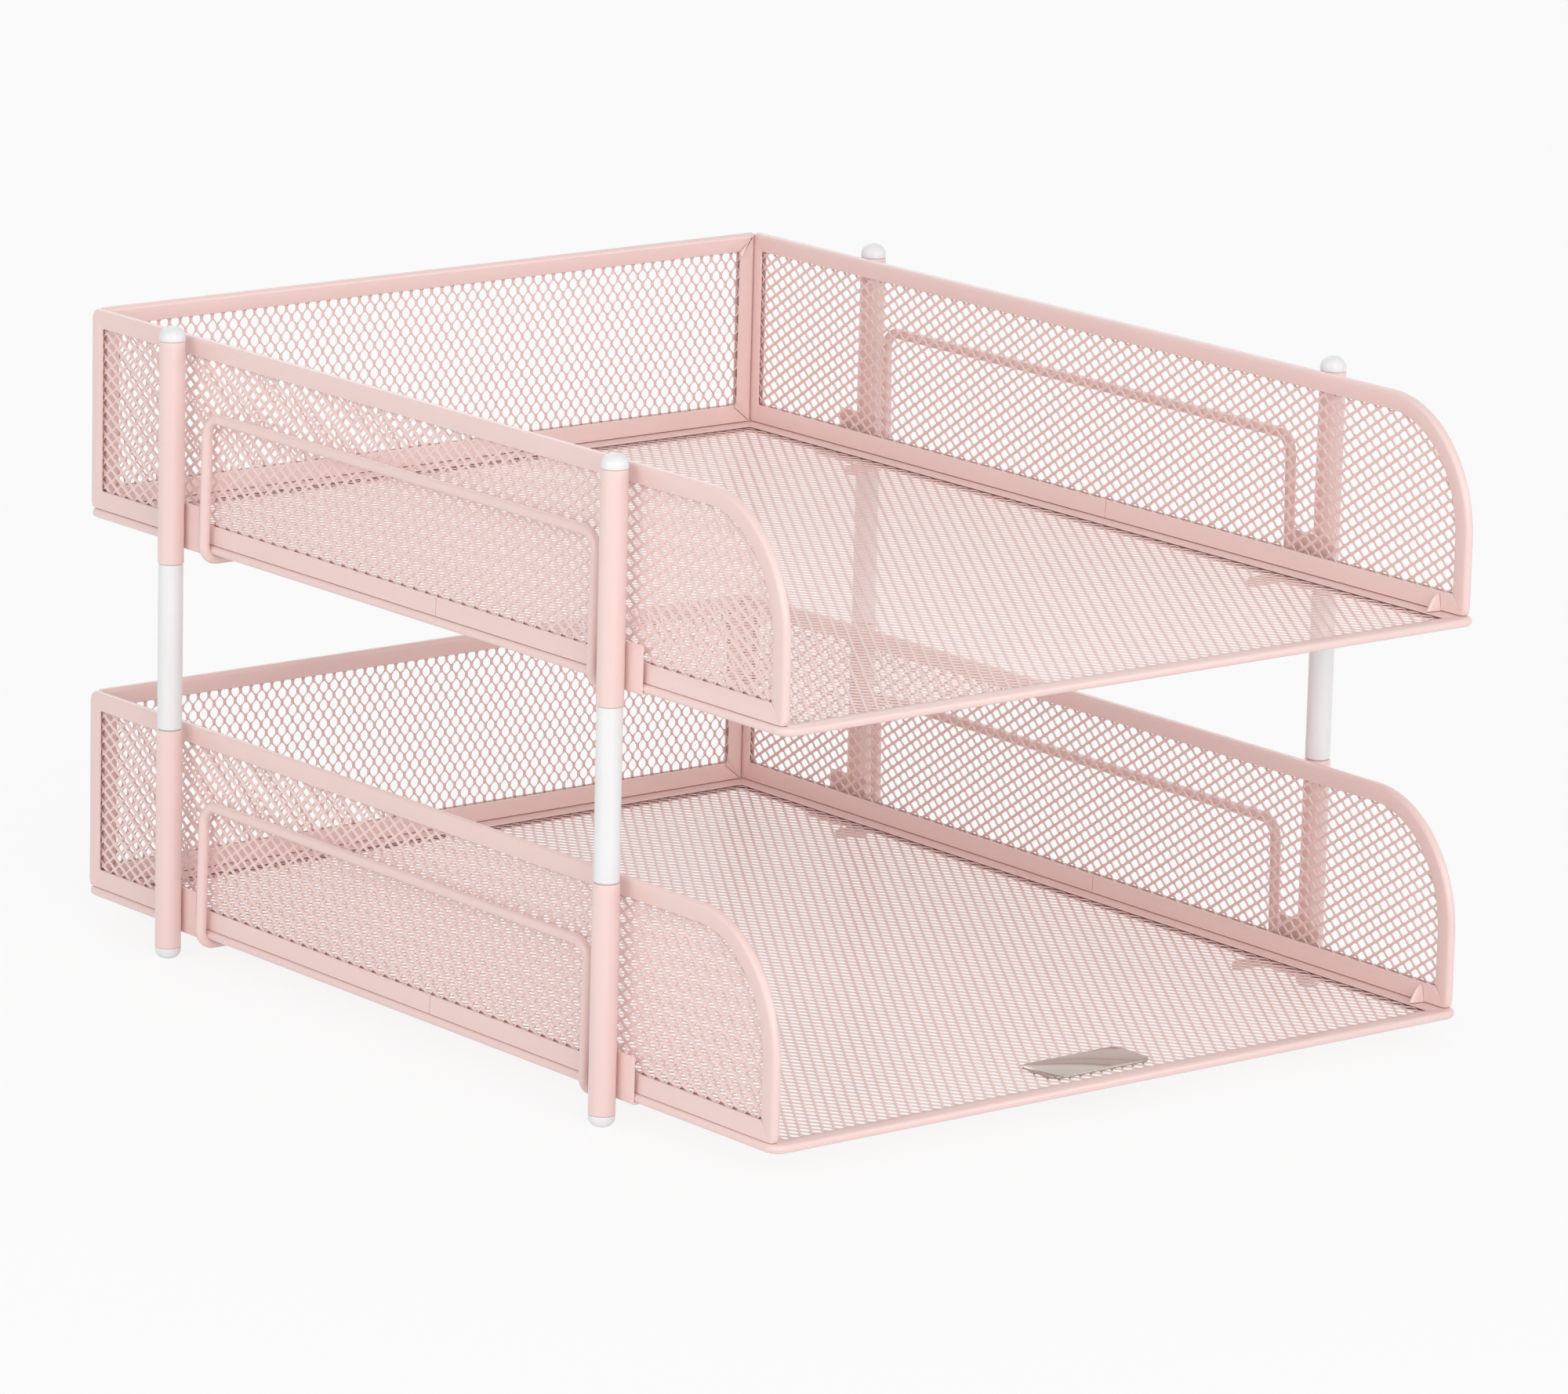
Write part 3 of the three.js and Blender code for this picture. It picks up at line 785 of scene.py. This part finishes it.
class TRAY_OT_wall_channels(Step):
    """Fold the channels round each tray's side walls and back wall"""

    bl_idname = "tray.wall_channels"
    bl_label = "Wall channels"

    def execute(self, context):
        sizes = context.scene.tray_channels
        outer, window = side_window()
        low, high = place("lower_left_wall_frame")
        thickness = high.x - low.x
        corner = (sizes.wall_corner, sizes.wall_corner, CORNER_STEPS)
        small = (sizes.window_corner, sizes.window_corner, CORNER_STEPS)
        curve = (sizes.curve_depth, sizes.curve_height, CURVE_STEPS)
        window_curve = (*inner_curve(), CURVE_STEPS)
        bm = channel(
            outer, window, [corner] * 3 + [curve], [small] * 3 + [window_curve], thickness,
            sizes.wall_fold, sizes.mitre,
        )
        seat_foot(bm, outer[2], sizes.wall_band, sizes.wall_fold)
        cut_seam(bm, outer[0] + sizes.seam_spot, window[2] + sizes.lip_round, thickness)
        bmesh.ops.translate(bm, verts=bm.verts, vec=(0.0, 0.0, low.x))
        settle_walls(stood(bm, ALONG_SIDE), "wall_frame", "wall_channel", powder_coat())
        outer, window = back_window()
        low, high = place("lower_back_wall_frame")
        bm = channel(outer, window, [small] * 4, [small] * 4, high.y - low.y, sizes.wall_fold)
        seat_foot(bm, outer[2], sizes.wall_band, sizes.wall_fold)
        bmesh.ops.translate(bm, verts=bm.verts, vec=(0.0, 0.0, low.y))
        nodes = [f"{tier}_back_wall_frame" for tier in TIERS]
        settle(stood(bm, ACROSS_BACK), nodes, "frame", "channel", powder_coat())
        return {"FINISHED"}


class TRAY_OT_nets(Step):
    """Expand the nets of each tray's floor and walls"""

    bl_idname = "tray.nets"
    bl_label = "Nets"

    def execute(self, context):
        coat = powder_coat()
        low, high = place("lower_floor_rim")
        bm = net(floor_window()[1], (low.z + high.z) / 2, "floor")
        settle(bm, [f"{tier}_floor_mesh" for tier in TIERS], "mesh", "net", coat)
        low, high = place("lower_left_wall_frame")
        bm = net(side_window()[1], (low.x + high.x) / 2, "side", inner_curve())
        settle_walls(stood(bm, ALONG_SIDE), "wall_mesh", "wall_net", coat)
        low, high = place("lower_back_wall_frame")
        bm = net(back_window()[1], (low.y + high.y) / 2, "back")
        nodes = [f"{tier}_back_wall_mesh" for tier in TIERS]
        settle(stood(bm, ACROSS_BACK), nodes, "mesh", "net", coat)
        return {"FINISHED"}


class TRAY_OT_posts(Step):
    """Turn the tube posts"""

    bl_idname = "tray.posts"
    bl_label = "Posts"

    def execute(self, context):
        sizes = context.scene.tray_tubes
        nodes = [f"{tier}_{side}_{end}_post" for tier in TIERS for side in SIDES for end in ENDS]
        low, high = place(nodes[0])
        radius, height = (high.x - low.x) / 2, high.z - low.z
        soft = sizes.post_round
        bm = turned([
            (sizes.bore, 0.0, 0, 0), (radius, 0.0, soft, soft),
            (radius, height, soft, soft), (sizes.bore, height, 0, 0),
        ], sizes.sides)
        stand_on(bm, nodes[0])
        settle(bm, nodes, "post", "tube_post", powder_coat())
        return {"FINISHED"}


class TRAY_OT_brackets(Step):
    """Bend the sheet brackets behind the posts"""

    bl_idname = "tray.brackets"
    bl_label = "Brackets"

    def execute(self, context):
        sizes = context.scene.tray_smalls
        half = sizes.bracket_sheet / 2
        for side, sign in SIDES.items():
            nodes = [f"{tier}_{side}_{end}_bracket" for tier in TIERS for end in ENDS]
            low, high = place(nodes[0])
            tip, back = (low.x, high.x) if sign > 0 else (high.x, low.x)
            back -= sign * half
            floor = low.z + half
            bm = bmesh.new()
            path = [(tip, floor), (back, floor), (back, high.z)]
            verts = [bm.verts.new((x, low.y, z)) for x, z in path]
            strip = [bm.edges.new(pair) for pair in zip(verts, verts[1:])]
            made = bmesh.ops.extrude_edge_only(bm, edges=strip)["geom"]
            ends = [part for part in made if isinstance(part, bmesh.types.BMVert)]
            bmesh.ops.translate(bm, verts=ends, vec=(0.0, high.y - low.y, 0.0))
            tops = [vert for vert in bm.verts if vert.co.z > high.z - NEAR]
            for vert in tops:
                round_corner(bm, vert, sizes.bracket_corner, sizes.bracket_corner, CORNER_STEPS)
            bend = [
                edge for edge in bm.edges
                if all(abs(vert.co.x - back) < NEAR and abs(vert.co.z - floor) < NEAR
                       for vert in edge.verts)
            ]
            round_edges(bm, bend, sizes.bracket_bend, 5)
            bmesh.ops.recalc_face_normals(bm, faces=bm.faces)
            bmesh.ops.solidify(bm, geom=bm.faces[:], thickness=sizes.bracket_sheet)
            xs = [vert.co.x for vert in bm.verts]
            zs = [vert.co.z for vert in bm.verts]
            vec = (high.x - max(xs) if sign > 0 else low.x - min(xs), 0.0, high.z - max(zs))
            bmesh.ops.translate(bm, verts=bm.verts, vec=vec)
            sharp = [
                edge for edge in bm.edges
                if edge.calc_face_angle(0.0) > math.radians(SQUARE_ANGLE)
            ]
            round_edges(bm, sharp, sizes.bracket_edge, SMALL_STEPS)
            settle(bm, nodes, "bracket", "bracket_plate", powder_coat())
        return {"FINISHED"}


class TRAY_OT_side_wires(Step):
    """Bend the wires against the side walls"""

    bl_idname = "tray.side_wires"
    bl_label = "Side wires"

    def execute(self, context):
        sizes = context.scene.tray_smalls
        for side, sign in SIDES.items():
            nodes = [f"{tier}_{side}_side_wire" for tier in TIERS]
            low, high = place(nodes[0])
            wall_low, wall_high = place(f"lower_{side}_wall_frame")
            wall = wall_high.x if sign > 0 else wall_low.x
            outer, tail = (high.x, low.x) if sign > 0 else (low.x, high.x)
            foot = outer - sign * sizes.wire
            rail = wall + sign * (sizes.wire_gap + sizes.wire)
            front, rear = low.y + sizes.wire, high.y - sizes.wire
            bottom, top = low.z + sizes.wire, high.z - sizes.wire
            corners = [Vector(spot) for spot in (
                (tail, front, bottom), (foot, front, bottom), (rail, front, top),
                (rail, rear, top), (foot, rear, bottom), (tail, rear, bottom),
            )]
            bends = (0.0, sizes.foot_bend, sizes.top_bend, sizes.top_bend, sizes.foot_bend, 0.0)
            bm = bent_wire(sizes.wire, corners, bends)
            coat = powder_coat()
            settle(bm, nodes, "side_wire", "bent_side_wire", coat, WIRE_ANGLE)
        return {"FINISHED"}


class TRAY_OT_gussets(Step):
    """Press the small rib-shaped gussets near the front corners"""

    bl_idname = "tray.gussets"
    bl_label = "Gussets"

    def execute(self, context):
        sizes = context.scene.tray_smalls
        for side, sign in SIDES.items():
            nodes = [f"{tier}_{side}_gusset" for tier in TIERS]
            low, high = place(nodes[0])
            wall, tip = (high.x, low.x) if sign > 0 else (low.x, high.x)
            half = (high.y - low.y) / 2 * sizes.gusset_width
            middle = high.y - half
            bm = bmesh.new()
            bmesh.ops.create_cone(
                bm, cap_ends=True, segments=GUSSET_SIDES, radius1=1.0, radius2=sizes.gusset_top,
                depth=1.0, matrix=Matrix.Translation((0.0, 0.0, 0.5)),
            )
            tops = [edge for edge in bm.edges if all(vert.co.z > 0.5 for vert in edge.verts)]
            round_edges(bm, tops, sizes.gusset_top * sizes.gusset_round, GUSSET_STEPS)
            depth = abs(tip - wall)
            bmesh.ops.scale(bm, verts=bm.verts, vec=(2.0 * depth, half, high.z - low.z))
            bmesh.ops.translate(bm, verts=bm.verts, vec=(wall + sign * depth, middle, low.z))
            cut = bmesh.ops.bisect_plane(
                bm, geom=bm.verts[:] + bm.edges[:] + bm.faces[:], plane_co=(wall, 0.0, 0.0),
                plane_no=(sign, 0.0, 0.0), clear_outer=True, dist=NEAR,
            )["geom_cut"]
            rim = [part for part in cut if isinstance(part, bmesh.types.BMEdge)]
            bmesh.ops.holes_fill(bm, edges=rim, sides=0)
            coat = powder_coat()
            settle(bm, nodes, "gusset", "pressed_gusset", coat, SQUARE_ANGLE)
        return {"FINISHED"}


class TRAY_OT_rods(Step):
    """Mould the connector rods between the trays"""

    bl_idname = "tray.rods"
    bl_label = "Connector rods"

    def execute(self, context):
        sizes = context.scene.tray_tubes
        nodes = [f"{side}_{end}_connector" for side in SIDES for end in ENDS]
        low, high = place(nodes[0])
        length = high.z - low.z
        soft, shoulder = sizes.spigot_round, sizes.rod_round
        near, far = sizes.rod_spigot, length - sizes.rod_spigot
        bm = turned([
            (0.0, 0.0, 0, 0), (sizes.spigot, 0.0, soft, soft), (sizes.spigot, near, 0, 0),
            (sizes.rod, near, shoulder, shoulder), (sizes.rod, far, shoulder, shoulder),
            (sizes.spigot, far, 0, 0), (sizes.spigot, length, soft, soft), (0.0, length, 0, 0),
        ], sizes.sides)
        stand_on(bm, nodes[0])
        settle(bm, nodes, "connector", "connector_rod", white_plastic())
        return {"FINISHED"}


def plug(radius, height, collar, flat, spigot_length):
    """Plug with a rounded head on top of its spigot, from the spigot's end up."""
    sizes = bpy.context.scene.tray_tubes
    soft = sizes.spigot_round
    seat = spigot_length
    return turned([
        (0.0, 0.0, 0, 0), (sizes.spigot, 0.0, soft, soft), (sizes.spigot, seat, 0, 0),
        (radius, seat, sizes.post_round, sizes.post_round),
        (radius, seat + height, radius - flat, height - collar), (0.0, seat + height, 0, 0),
    ], sizes.sides)


class TRAY_OT_caps(Step):
    """Mould the domed caps on the upper posts"""

    bl_idname = "tray.caps"
    bl_label = "Top caps"

    def execute(self, context):
        sizes = context.scene.tray_tubes
        nodes = [f"{side}_{end}_top_cap" for side in SIDES for end in ENDS]
        low, high = place(nodes[0])
        radius, height = (high.x - low.x) / 2, sizes.cap_height
        bm = plug(radius, height, sizes.cap_collar, sizes.cap_flat, high.z - low.z - height)
        stand_on(bm, nodes[0])
        settle(bm, nodes, "top_cap", "domed_cap", white_plastic())
        return {"FINISHED"}


class TRAY_OT_feet(Step):
    """Mould the rounded feet under the lower posts"""

    bl_idname = "tray.feet"
    bl_label = "Feet"

    def execute(self, context):
        sizes = context.scene.tray_tubes
        nodes = [f"{side}_{end}_foot" for side in SIDES for end in ENDS]
        low, high = place(nodes[0])
        radius, height = (high.x - low.x) / 2, sizes.foot_height
        bm = plug(radius, height, sizes.foot_collar, sizes.foot_flat, high.z - low.z - height)
        bmesh.ops.scale(bm, verts=bm.verts, vec=(1.0, 1.0, -1.0))
        stand_on(bm, nodes[0])
        settle(bm, nodes, "foot", "rounded_foot", white_plastic())
        return {"FINISHED"}


class TRAY_OT_plate(Step):
    """Stamp the bare plate on the lower tray's floor"""

    bl_idname = "tray.plate"
    bl_label = "Bare plate"

    def execute(self, context):
        sizes = context.scene.tray_smalls
        low, high = place("floor_plate")
        bm = bmesh.new()
        corner = (sizes.plate_corner, sizes.plate_corner, 2 * CORNER_STEPS)
        outline(bm, flat_edges("floor_plate", 0, 1), [corner] * 4)
        made = bmesh.ops.extrude_face_region(bm, geom=bm.faces[:])["geom"]
        top = [part for part in made if isinstance(part, bmesh.types.BMVert)]
        bmesh.ops.translate(bm, verts=top, vec=(0.0, 0.0, high.z - low.z))
        square = math.radians(SQUARE_ANGLE)
        rim = [edge for edge in bm.edges if edge.calc_face_angle(0.0) > square]
        round_edges(bm, rim, sizes.plate_edge, 3)
        bmesh.ops.translate(bm, verts=bm.verts, vec=(0.0, 0.0, low.z))
        settle(bm, ["floor_plate"], "floor_plate", "bare_plate", bare_plate_metal())
        return {"FINISHED"}


class TRAY_OT_stage(Step):
    """Lay the pale floor, and set up the soft light and the camera"""

    bl_idname = "tray.stage"
    bl_label = "Stage"

    def execute(self, context):
        bm = bmesh.new()
        bmesh.ops.create_grid(bm, x_segments=4, y_segments=4, size=6.0)
        bmesh.ops.translate(bm, verts=bm.verts, vec=(0.0, 0.0, -0.0001))
        mesh = bpy.data.meshes.new("pale_floor")
        bm.to_mesh(mesh)
        bm.free()
        mesh.materials.append(pale_floor())
        floor = bpy.data.objects.new("pale_floor", mesh)
        context.scene.collection.objects.link(floor)
        self.light_world(context)
        for lamp in LAMPS:
            self.hang_lamp(context, *lamp)
        self.set_camera(context)
        context.scene.view_settings.view_transform = "Standard"
        return {"FINISHED"}

    def light_world(self, context):
        """Even pale light that shows as white to the camera."""
        world = bpy.data.worlds.new("pale_world")
        context.scene.world = world
        finish = Finish(world)
        lit, seen = (
            finish.node("ShaderNodeBackground", None, {"Color": WHITE, "Strength": strength})
            for strength in (WORLD_LIGHT, 1.0)
        )
        values = {0: seen_rays(finish), 1: lit, 2: seen}
        finish.show(finish.node("ShaderNodeMixShader", None, values), "ShaderNodeOutputWorld")

    def hang_lamp(self, context, name, spot, width, power):
        """Square soft lamp that faces the tray."""
        lamp = bpy.data.lights.new(name, "AREA")
        lamp.size = width
        lamp.energy = power
        holder = bpy.data.objects.new(name, lamp)
        holder.location = spot
        aim = LAMP_AIM - Vector(spot)
        holder.rotation_euler = aim.to_track_quat("-Z", "Y").to_euler()
        context.scene.collection.objects.link(holder)

    def set_camera(self, context):
        """Long lens from the front left, a little above the trays."""
        camera = bpy.data.cameras.new("front_left_view")
        camera.sensor_width = CAMERA_SENSOR
        camera.lens = CAMERA_LENS
        holder = bpy.data.objects.new("front_left_view", camera)
        turn = Matrix.Rotation(math.radians(CAMERA_TURN), 4, "Z")
        tip = Matrix.Rotation(math.radians(90.0 - CAMERA_DROP), 4, "X")
        roll = Matrix.Rotation(math.radians(CAMERA_ROLL), 4, "Z")
        holder.matrix_world = Matrix.Translation(CAMERA_SPOT) @ turn @ tip @ roll
        context.scene.collection.objects.link(holder)
        context.scene.camera = holder


class VIEW3D_PT_letter_tray(bpy.types.Panel):
    """Sidebar panel with the tray's sizes, colours and steps."""

    bl_label = "Letter tray"
    bl_space_type = "VIEW_3D"
    bl_region_type = "UI"
    bl_category = "Letter tray"

    def draw(self, context):
        for group in SETTINGS:
            box = self.layout.box()
            for key in SETTINGS[group].__annotations__:
                box.prop(getattr(context.scene, group), key)
        for step in STEPS:
            self.layout.operator(step.bl_idname)


SETTINGS = {
    "tray_nets": NetSizes,
    "tray_channels": ChannelSizes,
    "tray_tubes": TubeSizes,
    "tray_smalls": SmallSizes,
    "tray_colours": TrayColours,
}
STEPS = (
    TRAY_OT_floor_channels, TRAY_OT_wall_channels, TRAY_OT_nets, TRAY_OT_posts,
    TRAY_OT_brackets, TRAY_OT_side_wires, TRAY_OT_gussets, TRAY_OT_rods, TRAY_OT_caps,
    TRAY_OT_feet, TRAY_OT_plate, TRAY_OT_stage,
)


def register():
    """Registers the settings, the operators and the panel."""
    for group, kind in SETTINGS.items():
        bpy.utils.register_class(kind)
        setattr(bpy.types.Scene, group, PointerProperty(type=kind))
    for kind in (*STEPS, VIEW3D_PT_letter_tray):
        bpy.utils.register_class(kind)


def unregister():
    """Takes back what register added."""
    for kind in (VIEW3D_PT_letter_tray, *reversed(STEPS)):
        bpy.utils.unregister_class(kind)
    for group, kind in SETTINGS.items():
        delattr(bpy.types.Scene, group)
        bpy.utils.unregister_class(kind)


def main():
    """Registers the settings, then makes the tray and its stage."""
    register()
    for step in STEPS:
        getattr(bpy.ops.tray, step.bl_idname.split(".")[1])()


if __name__ == "__main__":
    main()
